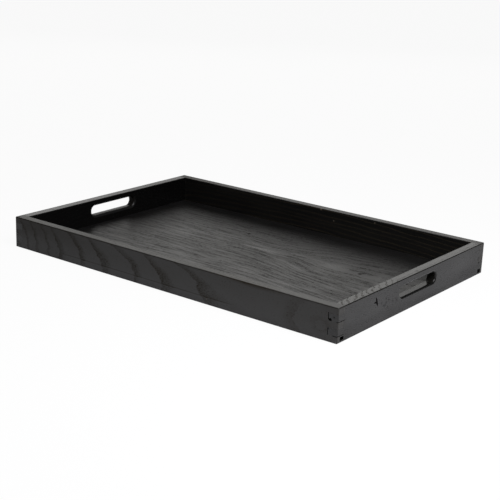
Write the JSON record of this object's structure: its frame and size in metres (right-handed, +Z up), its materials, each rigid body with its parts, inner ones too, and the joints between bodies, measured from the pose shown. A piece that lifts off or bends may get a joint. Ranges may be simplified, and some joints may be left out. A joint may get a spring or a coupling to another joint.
{
  "type": "serving tray",
  "caption": "Rectangular black-stained wooden serving tray with finger-jointed upright sides, a flat bottom panel held in a groove, and a long rounded hand slot in each short side.",
  "frame": {"origin": "on the table, under the middle of the tray's footprint", "axes": "+X along the long rails towards the right end, +Y from the front rail to the back rail, +Z up"},
  "size_m": [0.6, 0.4, 0.048],
  "materials": {
    "stained_board": "black stain with open grain under a satin lacquer",
    "stained_veneer": "black-stained veneer with open grain under a satin lacquer"
  },
  "bodies": {
    "root": {"front_rail": "stained_board", "back_rail": "stained_board", "right_end": "stained_board", "left_end": "stained_board", "bottom_panel": "stained_veneer"}
  },
  "joints": []
}
